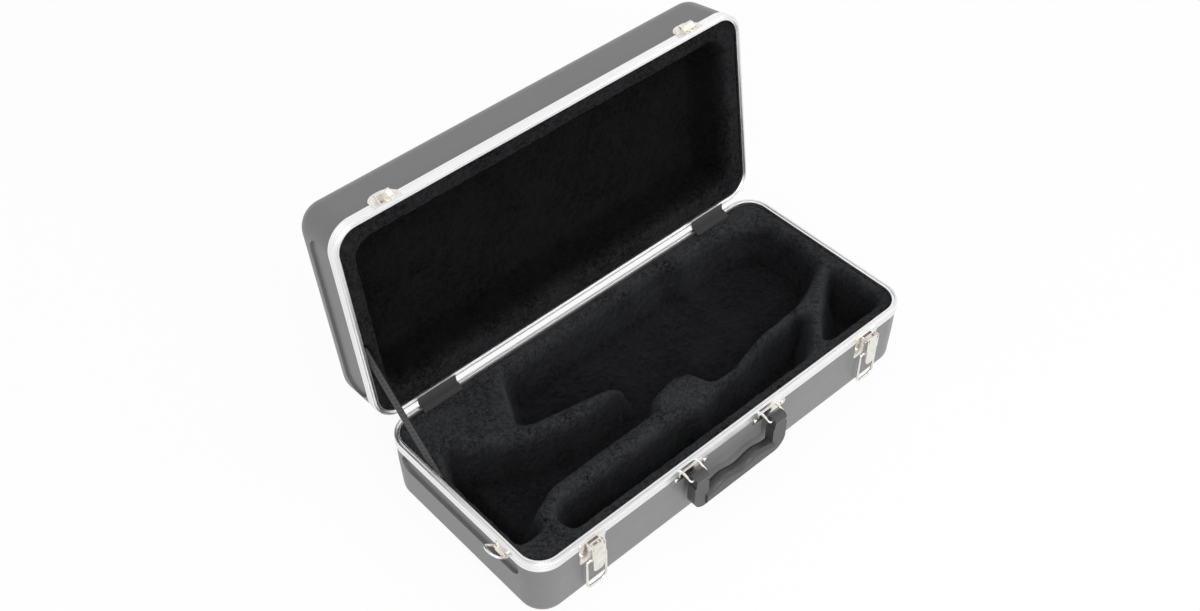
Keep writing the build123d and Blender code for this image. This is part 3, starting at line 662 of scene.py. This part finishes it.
def woven_cover(colour, thread_pitch):
    """Plain woven cloth on the hinge covers, from the cover's own map."""
    finish = Finish("woven_cover")
    cloth = finish.place(source="UV")
    warp = (finish.axis(cloth, "X") * (math.pi / thread_pitch)).math("SINE")
    weft = (finish.axis(cloth, "Y") * (math.pi / thread_pitch)).math("SINE")
    weave = warp * weft * 0.5 + 0.5
    fuzz = finish.noise(finish.place(), scale=1200.0, detail=3.0, roughness=0.7)
    body = finish.mix(weave * 0.75 + fuzz * 0.25, tone(colour, 0.4), tone(colour, 1.9))
    return finish.surface(
        Base_Color=body,
        Roughness=0.86,
        Specular_IOR_Level=0.3,
        Sheen_Weight=0.2,
        Sheen_Roughness=0.5,
        Normal=finish.bump(weave * 0.8 + fuzz * 0.3, distance=0.0004),
    )


# ------------------------------------------------------------------ modelling by hand
def start_piece(name):
    """Names the primitive that has just been added."""
    piece = bpy.context.active_object
    piece.name = name
    piece.data.name = name
    return piece


def deselect():
    """Nothing selected, so that the next primitive stands alone."""
    bpy.ops.object.select_all(action="DESELECT")


def coordinates(piece):
    """Points of a piece, in millimetres."""
    points = np.zeros(len(piece.data.vertices) * 3)
    piece.data.vertices.foreach_get("co", points)
    return points.reshape(-1, 3) / MM


def move_points(piece, points):
    """Moves the points of a piece to places in millimetres."""
    piece.data.vertices.foreach_set("co", (points * MM).ravel())
    piece.data.update()


def apply_modifier(piece, kind, **settings):
    """Adds a modifier with its settings and applies it."""
    modifier = piece.modifiers.new(kind.title(), kind)
    for name, value in settings.items():
        setattr(modifier, name, value)
    bpy.context.view_layer.objects.active = piece
    bpy.ops.object.modifier_apply(modifier=modifier.name)


def finish_piece(piece, material, body, slot, *nodes):
    """Gives a piece its finish and its body, if it has only one, and lets it stand for nodes."""
    piece.data.materials.clear()
    piece.data.materials.append(material)
    if body:
        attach(piece, body)
    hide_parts(*nodes)


def eased(value):
    """Step from 0 to 1 that starts and ends softly."""
    value = np.clip(value, 0, 1)
    return value * value * (3 - 2 * value)


def inside_rounded(x, y, half_x, half_y, corner):
    """Distance inside a rounded rectangle, positive within."""
    past_x = np.abs(x) - (half_x - corner)
    past_y = np.abs(y) - (half_y - corner)
    outside = np.hypot(np.maximum(past_x, 0), np.maximum(past_y, 0))
    return corner - outside - np.minimum(np.maximum(past_x, past_y), 0)


def inside_outline(x, y, outline):
    """Distance inside a closed outline, positive within."""
    nearest = np.full(x.shape, np.inf)
    within = np.zeros(x.shape, bool)
    for (ax, ay), (bx, by) in zip(outline, outline[1:] + outline[:1]):
        run_x, run_y = bx - ax, by - ay
        along = ((x - ax) * run_x + (y - ay) * run_y) / (run_x * run_x + run_y * run_y)
        along = np.clip(along, 0, 1)
        nearest = np.minimum(nearest, np.hypot(x - ax - along * run_x, y - ay - along * run_y))
        if run_y:
            crosses = (ay > y) != (by > y)
            within ^= crosses & (x < ax + (y - ay) * run_x / run_y)
    return np.where(within, nearest, -nearest)


def soft_most(first, second, softness):
    """The greater of two depths, with the crease between them rounded."""
    share = np.clip(0.5 + (first - second) / (2 * softness), 0, 1)
    return second * (1 - share) + first * share + softness * share * (1 - share)


def lining_sheet(name):
    """Grid in the plan of the lining, its four corners drawn in to arcs."""
    deselect()
    bpy.ops.mesh.primitive_grid_add(
        x_subdivisions=LINING_COLUMNS, y_subdivisions=LINING_ROWS, size=2 * MM
    )
    sheet = start_piece(name)
    points = coordinates(sheet)
    x = points[:, 0] * LINING_HALF_LENGTH
    y = points[:, 1] * LINING_HALF_WIDTH
    over_x = np.abs(x) - (LINING_HALF_LENGTH - LINING_CORNER)
    over_y = np.abs(y) - (LINING_HALF_WIDTH - LINING_CORNER)
    corner = (over_x > 0) & (over_y > 0)
    far = np.maximum(over_x, over_y)
    never_zero = 1e-9
    pull = np.where(corner, far / (np.hypot(over_x, over_y) + never_zero), 1.0)
    x = np.where(corner, np.sign(x) * (LINING_HALF_LENGTH - LINING_CORNER + over_x * pull), x)
    y = np.where(corner, np.sign(y) * (LINING_HALF_WIDTH - LINING_CORNER + over_y * pull), y)
    points[:, 0], points[:, 1] = x, y
    move_points(sheet, points)
    return sheet


def close_block(turn, turn_inset, end):
    """Closes the active sheet with walls from its edge, drawn in over the shell's corner."""
    scale_x = (LINING_HALF_LENGTH - turn_inset) / LINING_HALF_LENGTH
    scale_y = (LINING_HALF_WIDTH - turn_inset) / LINING_HALF_WIDTH
    bpy.ops.object.mode_set(mode="EDIT")
    bpy.ops.mesh.select_mode(type="EDGE")
    bpy.ops.mesh.select_all(action="DESELECT")
    bpy.ops.mesh.select_non_manifold()
    bpy.ops.mesh.extrude_region_move()
    bpy.ops.transform.resize(value=(1, 1, 0), center_override=(0, 0, turn * MM))
    bpy.ops.mesh.extrude_region_move()
    bpy.ops.transform.resize(value=(scale_x, scale_y, 0), center_override=(0, 0, end * MM))
    bpy.ops.mesh.edge_face_add()
    bpy.ops.mesh.select_all(action="SELECT")
    bpy.ops.mesh.normals_make_consistent(inside=False)
    bpy.ops.object.mode_set(mode="OBJECT")


def raise_pile(piece, settings, bare):
    """Lifts the surface into uneven tufts, less so near the frame and not on bare places."""
    points = coordinates(piece)
    normals = np.zeros(len(points) * 3)
    piece.data.vertices.foreach_get("normal", normals)
    normals = normals.reshape(-1, 3)
    size = settings.tuft_size / MM
    fine = FINE_TUFT_SIZE * size
    height = settings.tuft_height / MM
    lift = np.array(
        [
            noise.noise(Vector(point) / size)
            + FINE_TUFT_HEIGHT * noise.noise(Vector(point) / fine)
            for point in points
        ]
    )
    edge = inside_rounded(
        points[:, 0], points[:, 1], LINING_HALF_LENGTH, LINING_HALF_WIDTH, LINING_CORNER
    )
    share = RIM_PILE + (1 - RIM_PILE) * eased(edge / PILE_FADE)
    for x, y, half_x, half_y in bare:
        distance = np.maximum(np.abs(points[:, 0] - x) - half_x, np.abs(points[:, 1] - y) - half_y)
        share *= eased(distance / PILE_FADE)
    move_points(piece, points + normals * (lift * height * share)[:, None])


def notched(depth, x, y, notch_y):
    """Depth of a lining with the notch for a stay anchor cut in."""
    beyond = np.maximum(np.abs(x - LEFT) - NOTCH_REACH, np.abs(y - notch_y) - NOTCH_HALF_LENGTH)
    notch = NOTCH_DEPTH * eased(-beyond / NOTCH_ROLL + 0.5)
    return soft_most(depth, notch, NOTCH_CREASE)


def softened(heights, rounds):
    """Heights on the lining's grid, each round averaged with their neighbours."""
    field = heights.reshape(LINING_ROWS + 1, -1)
    for _ in range(rounds):
        tall = np.pad(field, ((1, 1), (0, 0)), "edge")
        field = (tall[:-2] + 2 * field + tall[2:]) / 4
        wide = np.pad(field, ((0, 0), (1, 1)), "edge")
        field = (wide[:, :-2] + 2 * field + wide[:, 2:]) / 4
    return field.ravel()


def base_surface(x, y):
    """Height of the base's plush: platforms, soft-edged pockets and the rolled rim."""
    sink = np.zeros_like(x)
    for outline, floor, roll in BASE_POCKETS:
        depth = BASE_LINING_TOP - floor
        within = inside_outline(x, y, outline)
        sink = soft_most(sink, depth * eased(within / roll + ROLL_OUTSIDE), POCKET_CREASE)
    sink = notched(sink, x, y, BASE_NOTCH_Y)
    edge = inside_rounded(x, y, LINING_HALF_LENGTH, LINING_HALF_WIDTH, LINING_CORNER)
    rolled = RIM_SINK * (1 - eased(edge / RIM_ROLL))
    return softened(BASE_LINING_TOP - sink - rolled, SOFTENING_ROUNDS)


def lid_surface(x, y):
    """Height of the lid's plush, shut: a sloping padded wall and a gently crowned floor."""
    edge = inside_rounded(x, y, LID_PAN_HALF_LENGTH, LID_PAN_HALF_WIDTH, LID_PAN_CORNER)
    wall = (LID_PAN_FLOOR - LID_LINING_FACE) * eased(edge / LID_PAN_SLOPE)
    crown = LID_CROWN * eased(edge / LID_CROWN_RUN)
    wall = notched(wall, x, y, LID_NOTCH_Y)
    return LID_LINING_FACE + wall - crown + RIM_SINK


def lining_block(name, surface, walls, settings, bare=()):
    """Plush block under a surface, with closed walls, and its face lifted into tufts."""
    block = lining_sheet(name)
    points = coordinates(block)
    points[:, 2] = surface(points[:, 0], points[:, 1])
    move_points(block, points)
    close_block(*walls)
    apply_modifier(block, "REMESH", mode="VOXEL", voxel_size=settings.mesh_size)
    apply_modifier(block, "SMOOTH", factor=0.5, iterations=2)
    raise_pile(block, settings, bare)
    bpy.ops.object.shade_smooth()
    return block


def strip(name, grid, middle_line, width, thickness):
    """Flat band that follows a line of (y, z) points, its width along x, mapped in metres."""
    columns, rows = grid
    deselect()
    bpy.ops.mesh.primitive_grid_add(
        x_subdivisions=columns, y_subdivisions=rows, size=2 * MM, calc_uvs=True
    )
    band = start_piece(name)
    points = coordinates(band)
    line = np.array(middle_line)
    steps = np.hypot(*np.diff(line, axis=0).T)
    along = np.concatenate(([0], np.cumsum(steps)))
    travel = (points[:, 1] + 1) / 2 * along[-1]
    across = points[:, 0] * width / 2
    y = np.interp(travel, along, line[:, 0])
    z = np.interp(travel, along, line[:, 1])
    move_points(band, np.stack([across, y, z], axis=1))
    for corner in band.data.loops:
        point = corner.vertex_index
        band.data.uv_layers[0].data[corner.index].uv = (across[point] * MM, travel[point] * MM)
    if thickness:
        apply_modifier(band, "SOLIDIFY", thickness=thickness, offset=0)
    return band


def smooth_line(points, count):
    """Smooth line of a number of points through a few given ones."""
    points = np.array(points, float)
    padded = np.vstack([2 * points[0] - points[1], points, 2 * points[-1] - points[-2]])
    line = []
    for value in np.linspace(0, len(points) - 1, count):
        index = min(int(value), len(points) - 2)
        part = value - index
        a, b, c, d = padded[index : index + 4]
        line.append(
            0.5
            * (
                2 * b
                + (c - a) * part
                + (2 * a - 5 * b + 4 * c - d) * part**2
                + (3 * b - a - 3 * c + d) * part**3
            )
        )
    return np.array(line)


# ------------------------------------------------------------------ operators
class BASE_PLUSH_OT_make(bpy.types.Operator):
    """Plush lining of the base with its pockets"""

    bl_idname = "trumpet_case.base_plush"
    bl_label = "Base Plush"

    def execute(self, context):
        case = context.scene.trumpet_case
        half_cover = case.webbing.cover_length / MM / 2 + COVER_CLEARANCE
        block = lining_block(
            "base_plush",
            base_surface,
            (BASE_TURN, BASE_TURN_INSET, BASE_FLOOR),
            case.plush,
            bare=[(side * HINGE_X, REAR, half_cover, COVER_BARE_REACH) for side in (-1, 1)],
        )
        finish_piece(
            block,
            bpy.data.materials["base_plush"],
            "base",
            "plush",
            "base_plush_lining",
            "base_foam_insert",
        )
        return {"FINISHED"}


class LID_PLUSH_OT_make(bpy.types.Operator):
    """Padded plush pan of the lid"""

    bl_idname = "trumpet_case.lid_plush"
    bl_label = "Lid Plush"

    def execute(self, context):
        block = lining_block(
            "lid_plush",
            lid_surface,
            (LID_TURN, LID_TURN_INSET, LID_BACK),
            context.scene.trumpet_case.plush,
        )
        block.data.transform(LID_OPEN)
        finish_piece(
            block,
            bpy.data.materials["lid_plush"],
            "lid",
            "plush",
            "lid_plush_lining",
            "lid_foam_insert",
        )
        return {"FINISHED"}


class STAY_OT_make(bpy.types.Operator):
    """Ribbed webbing strap that holds the lid open"""

    bl_idname = "trumpet_case.stay"
    bl_label = "Lid Stay"

    def execute(self, context):
        settings = context.scene.trumpet_case.webbing
        foot, head = Vector(STRAP_FOOT), Vector(STRAP_HEAD)
        lean = (head - foot).normalized()
        line = [foot - lean * STRAP_TAIL, head + lean * STRAP_TAIL]
        strap = strip("stay_webbing", STRAP_GRID, line, width=1, thickness=0)
        points = coordinates(strap)
        travel = (points[:, 1] - line[0].x) * lean.x + (points[:, 2] - line[0].y) * lean.y
        across = points[:, 0] * STRAP_WIDTH
        rib = np.sin(travel * 2 * math.pi / (settings.rib_pitch / MM)) * 0.5
        inner = STRAP_WIDTH / 2 - STRAP_SELVEDGE
        ribbed = 1 - eased((np.abs(across) - inner) / STRAP_SELVEDGE)
        points[:, 0] = STRAP_X + rib * ribbed * settings.rib_height / MM
        points[:, 1] -= across * lean.y
        points[:, 2] += across * lean.x
        move_points(strap, points)
        apply_modifier(strap, "SOLIDIFY", thickness=STRAP_THICKNESS * MM, offset=0)
        for y, z in (STRAP_FOOT, STRAP_HEAD):
            self.punch(strap, y, z)
        bpy.context.view_layer.objects.active = strap
        strap.select_set(True)
        bpy.ops.object.shade_smooth_by_angle(angle=SMOOTH_ANGLE)
        finish_piece(strap, bpy.data.materials["ribbed_webbing"], None, "webbing", "stay_strap")
        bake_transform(strap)
        return {"FINISHED"}

    def punch(self, strap, y, z):
        """Hole in the strap for a rivet."""
        deselect()
        bpy.ops.mesh.primitive_cylinder_add(
            vertices=RIVET_HOLE_SIDES,
            radius=RIVET_HOLE_RADIUS * MM,
            depth=PUNCH_LENGTH * MM,
            location=(STRAP_X * MM, y * MM, z * MM),
            rotation=(0, math.radians(90), 0),
        )
        awl = bpy.context.active_object
        apply_modifier(strap, "BOOLEAN", operation="DIFFERENCE", object=awl)
        bpy.data.objects.remove(awl)


class HINGE_COVERS_OT_make(bpy.types.Operator):
    """Woven strips that bridge the two rims over the hinges"""

    bl_idname = "trumpet_case.hinge_covers"
    bl_label = "Hinge Covers"

    def execute(self, context):
        settings = context.scene.trumpet_case.webbing
        half = settings.cover_thickness / MM / 2
        points = [(y, z + half) for y, z in COVER_OVER_RIM]
        points += [(y - half, z) for y, z in COVER_UP_LID]
        line = smooth_line(points, COVER_LINE_POINTS)
        for side, name in ((-1, "left"), (1, "right")):
            cover = strip(
                f"hinge_cover_cloth_{name}",
                COVER_GRID,
                line,
                settings.cover_length / MM,
                settings.cover_thickness,
            )
            placed = coordinates(cover)
            placed[:, 0] += side * HINGE_X
            move_points(cover, placed)
            cover.select_set(True)
            bpy.ops.object.shade_smooth_by_angle(angle=SMOOTH_ANGLE)
            finish_piece(
                cover, bpy.data.materials["woven_cover"], None, "webbing", f"hinge_cover_{name}"
            )
            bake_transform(cover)
        return {"FINISHED"}


class FINISHES_OT_make(bpy.types.Operator):
    """Finishes of the moulded shells, frames, fittings and linings"""

    bl_idname = "trumpet_case.finishes"
    bl_label = "Finishes"

    def execute(self, context):
        case = context.scene.trumpet_case
        shell = moulded_plastic(
            "shell_plastic", case.shell.colour, case.shell.grain_size, roughness=0.36
        )
        coarse_grain = 2.4 * case.shell.grain_size
        handle = moulded_plastic(
            "handle_plastic", case.shell.handle_colour, coarse_grain, roughness=0.38
        )
        plush = case.plush
        black_plush(
            "base_plush",
            plush.colour,
            plush.shade,
            sheen=0.14,
            crest=BASE_LINING_TOP * MM,
            outward=(0, 0, 1),
        )
        lid_out = LID_OPEN.to_3x3() @ Vector((0, 0, -1))
        lid_crest = lid_out.dot(LID_OPEN @ Vector((0, 0, LID_LINING_FACE * MM)))
        # The lid's plush takes the darker colour, which is painted shade.
        black_plush(
            "lid_plush",
            plush.lid_shaded_colour,
            plush.shade,
            sheen=0.04,
            crest=lid_crest,
            outward=lid_out,
        )
        webbing = case.webbing
        run = Vector(STRAP_HEAD) - Vector(STRAP_FOOT)
        slope = math.degrees(math.atan2(run.y, run.x))
        middle = Vector(STRAP_FOOT).dot(run.orthogonal().normalized()) * MM
        ribbed_webbing(webbing.colour, webbing.rib_pitch, slope, middle, STRAP_WIDTH * MM)
        faded = tone(webbing.colour, 1.15)
        woven_cover(faded, webbing.thread_pitch)
        nickel = nickel_plate(case.metal.nickel)
        dressed = {
            "base_shell": shell,
            "lid_shell": shell,
            "base_frame": satin_aluminium("base_aluminium", case.metal.aluminium, Matrix()),
            "lid_frame": satin_aluminium(
                "lid_aluminium", case.metal.aluminium, LID_OPEN.inverted()
            ),
            "carrying_handle": handle,
        }
        dressed.update({node: nickel for node in NICKEL_NODES})
        for node, material in dressed.items():
            mesh = frame["nodes"][node].data
            mesh.materials.clear()
            mesh.materials.append(material)
        return {"FINISHED"}


class STAGE_OT_make(bpy.types.Operator):
    """Pale floor, soft studio light and the camera"""

    bl_idname = "trumpet_case.stage"
    bl_label = "Stage"

    def execute(self, context):
        settings = context.scene.trumpet_case.stage
        self.lay_floor(settings)
        self.light_tent(context.scene, settings)
        fill_power = settings.key_power * FILL_SHARE
        self.hang_lamp("key_lamp", KEY_PLACE, settings.key_power, KEY_SIZE)
        self.hang_lamp("fill_lamp", FILL_PLACE, fill_power, FILL_SIZE)
        self.hang_lamp("front_lamp", FRONT_PLACE, settings.front_power, FRONT_SIZE)
        self.set_camera(context.scene)
        context.scene.view_settings.view_transform = "Standard"
        return {"FINISHED"}

    def lay_floor(self, settings):
        """Paper floor, near to plain white where it is seen."""
        deselect()
        bpy.ops.mesh.primitive_plane_add(size=settings.floor_size, location=(0, 0, -FLOOR_DROP))
        floor = start_piece("floor")
        finish = Finish("floor_paper")
        grain = finish.noise(finish.place(), scale=400.0, detail=3.0)
        colour = finish.mix(grain, tone(settings.floor_colour, 0.99), settings.floor_colour)
        paper = finish.node("ShaderNodeBsdfDiffuse", values={"Color": colour})
        white = finish.node("ShaderNodeEmission", values={"Color": (1, 1, 1, 1), "Strength": 1.0})
        shown = finish.node(
            "ShaderNodeMixShader", values={0: finish.seen() * FLOOR_WHITE, 1: paper, 2: white}
        )
        finish.node("ShaderNodeOutputMaterial", values={"Surface": shown})
        floor.data.materials.append(finish.material)
        floor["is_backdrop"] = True

    def light_tent(self, scene, settings):
        """Even light from all sides, white where it is seen."""
        world = bpy.data.worlds.new("light_tent")
        scene.world = world
        world.use_nodes = True
        tent = Finish("light_tent", world.node_tree)
        seen = tent.seen()
        level = seen * (1 - settings.sky_level) + settings.sky_level
        sky = tent.node("ShaderNodeBackground", values={"Color": (1, 1, 1, 1), "Strength": level})
        tent.node("ShaderNodeOutputWorld", values={"Surface": sky})

    def hang_lamp(self, name, place, power, size):
        """Round soft lamp that points at the case."""
        lamp = bpy.data.lights.new(name, "AREA")
        lamp.energy = power
        lamp.shape = "DISK"
        lamp.size = size
        holder = bpy.data.objects.new(name, lamp)
        holder.location = place
        aim = Vector(LAMP_AIM) - Vector(place)
        holder.rotation_euler = aim.to_track_quat("-Z", "Y").to_euler()
        bpy.context.collection.objects.link(holder)

    def set_camera(self, scene):
        """Camera over the front left corner, looking down into the case."""
        yaw, pitch, roll = map(math.radians, (CAMERA_YAW, CAMERA_PITCH, CAMERA_ROLL))
        forward = Vector(
            (math.sin(yaw) * math.cos(pitch), math.cos(yaw) * math.cos(pitch), -math.sin(pitch))
        )
        right = Vector((math.cos(yaw), -math.sin(yaw), 0))
        up = right.cross(forward)
        level = right * math.cos(roll) + up * math.sin(roll)
        upright = up * math.cos(roll) - right * math.sin(roll)
        lens = bpy.data.cameras.new("camera")
        lens.lens = CAMERA_LENS
        lens.sensor_width = CAMERA_SENSOR
        lens.sensor_fit = "HORIZONTAL"
        lens.clip_start = 0.05
        lens.clip_end = 40.0
        camera = bpy.data.objects.new("camera", lens)
        turn = Matrix((level, upright, -forward)).transposed().to_4x4()
        camera.matrix_world = Matrix.Translation(CAMERA_PLACE) @ turn
        bpy.context.collection.objects.link(camera)
        scene.camera = camera


class TRUMPET_CASE_PT_panel(bpy.types.Panel):
    """Steps that dress the case"""

    bl_idname = "TRUMPET_CASE_PT_panel"
    bl_label = "Trumpet Case"
    bl_space_type = "VIEW_3D"
    bl_region_type = "UI"
    bl_category = "Trumpet Case"

    def draw(self, context):
        case = context.scene.trumpet_case
        for step in STEPS:
            self.layout.operator(step.bl_idname)
        for group in (case.plush, case.shell, case.metal, case.webbing, case.stage):
            for name in group.__annotations__:
                self.layout.prop(group, name)


STEPS = (
    FINISHES_OT_make,
    BASE_PLUSH_OT_make,
    LID_PLUSH_OT_make,
    STAY_OT_make,
    HINGE_COVERS_OT_make,
    STAGE_OT_make,
)
CLASSES = (
    PlushSettings,
    ShellSettings,
    MetalSettings,
    WebbingSettings,
    StageSettings,
    CaseSettings,
    *STEPS,
    TRUMPET_CASE_PT_panel,
)


def register():
    """Registers the classes and adds the case's settings to the scene."""
    for kind in CLASSES:
        bpy.utils.register_class(kind)
    bpy.types.Scene.trumpet_case = PointerProperty(type=CaseSettings)


def unregister():
    """Removes the settings and the classes."""
    del bpy.types.Scene.trumpet_case
    for kind in reversed(CLASSES):
        bpy.utils.unregister_class(kind)


def main():
    """Dresses the frame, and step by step."""
    register()
    bpy.ops.trumpet_case.finishes()
    bpy.ops.trumpet_case.base_plush()
    bpy.ops.trumpet_case.lid_plush()
    bpy.ops.trumpet_case.stay()
    bpy.ops.trumpet_case.hinge_covers()
    bpy.ops.trumpet_case.stage()
    boxes = [[list(corner) for corner in box] for box in (frame_bounds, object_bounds())]


if __name__ == "__main__":
    main()
